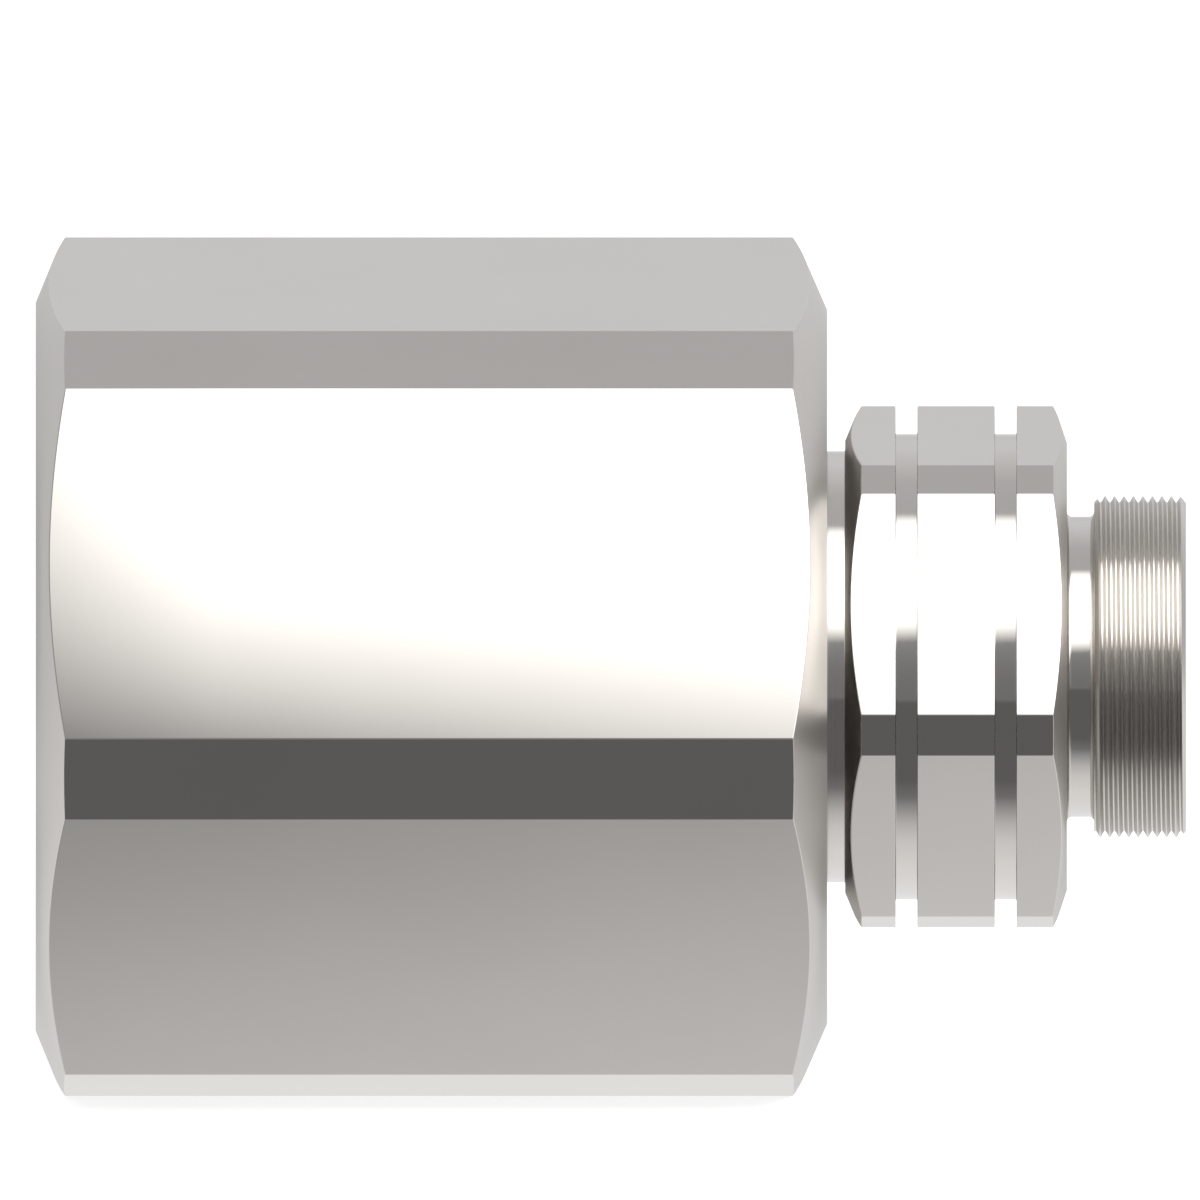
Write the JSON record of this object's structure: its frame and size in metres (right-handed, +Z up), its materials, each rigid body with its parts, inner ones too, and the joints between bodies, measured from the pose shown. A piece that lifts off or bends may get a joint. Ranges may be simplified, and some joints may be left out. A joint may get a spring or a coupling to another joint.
{
  "type": "coupling plug",
  "caption": "Screw-type coupling plug: large hexagon body with female port, small grooved hexagon nose with short fine male thread, and a spring-loaded poppet valve inside.",
  "frame": {"origin": "on the plug's axis, in the plane of the coupling shoulder, which is the front face of the small hexagon", "axes": "+X along the plug's axis, out of the coupling thread; +Z up, square to the wide flat that the plug lies on"},
  "size_m": [0.1214, 0.0914, 0.0836],
  "materials": {
    "bright_plating": "smooth bright nickel-plated steel",
    "valve_steel": "fine turned stainless steel",
    "spring_wire": "drawn stainless spring wire",
    "black_rubber": "moulded nitrile rubber",
    "white_plastic": "white PTFE",
    "bearing_bronze": "sintered bronze"
  },
  "bodies": {
    "housing": {"port_body": "bright_plating", "coupling_nose": "bright_plating", "body_o_ring": "black_rubber", "backup_ring": "white_plastic", "valve_guide": "valve_steel", "guide_bush": "bearing_bronze", "valve_spring": "spring_wire"},
    "poppet": {"valve_poppet": "valve_steel", "poppet_seal": "black_rubber", "seal_washer": "valve_steel", "poppet_nut": "valve_steel"}
  },
  "joints": [
    {"name": "poppet_slide", "type": "slide", "parent": "housing", "child": "poppet", "axis": [-1, 0, 0], "range_m": [0, 0.0075], "stiffness_N_per_m": 1740, "springref_m": -0.008, "deforming": ["valve_spring"]}
  ]
}
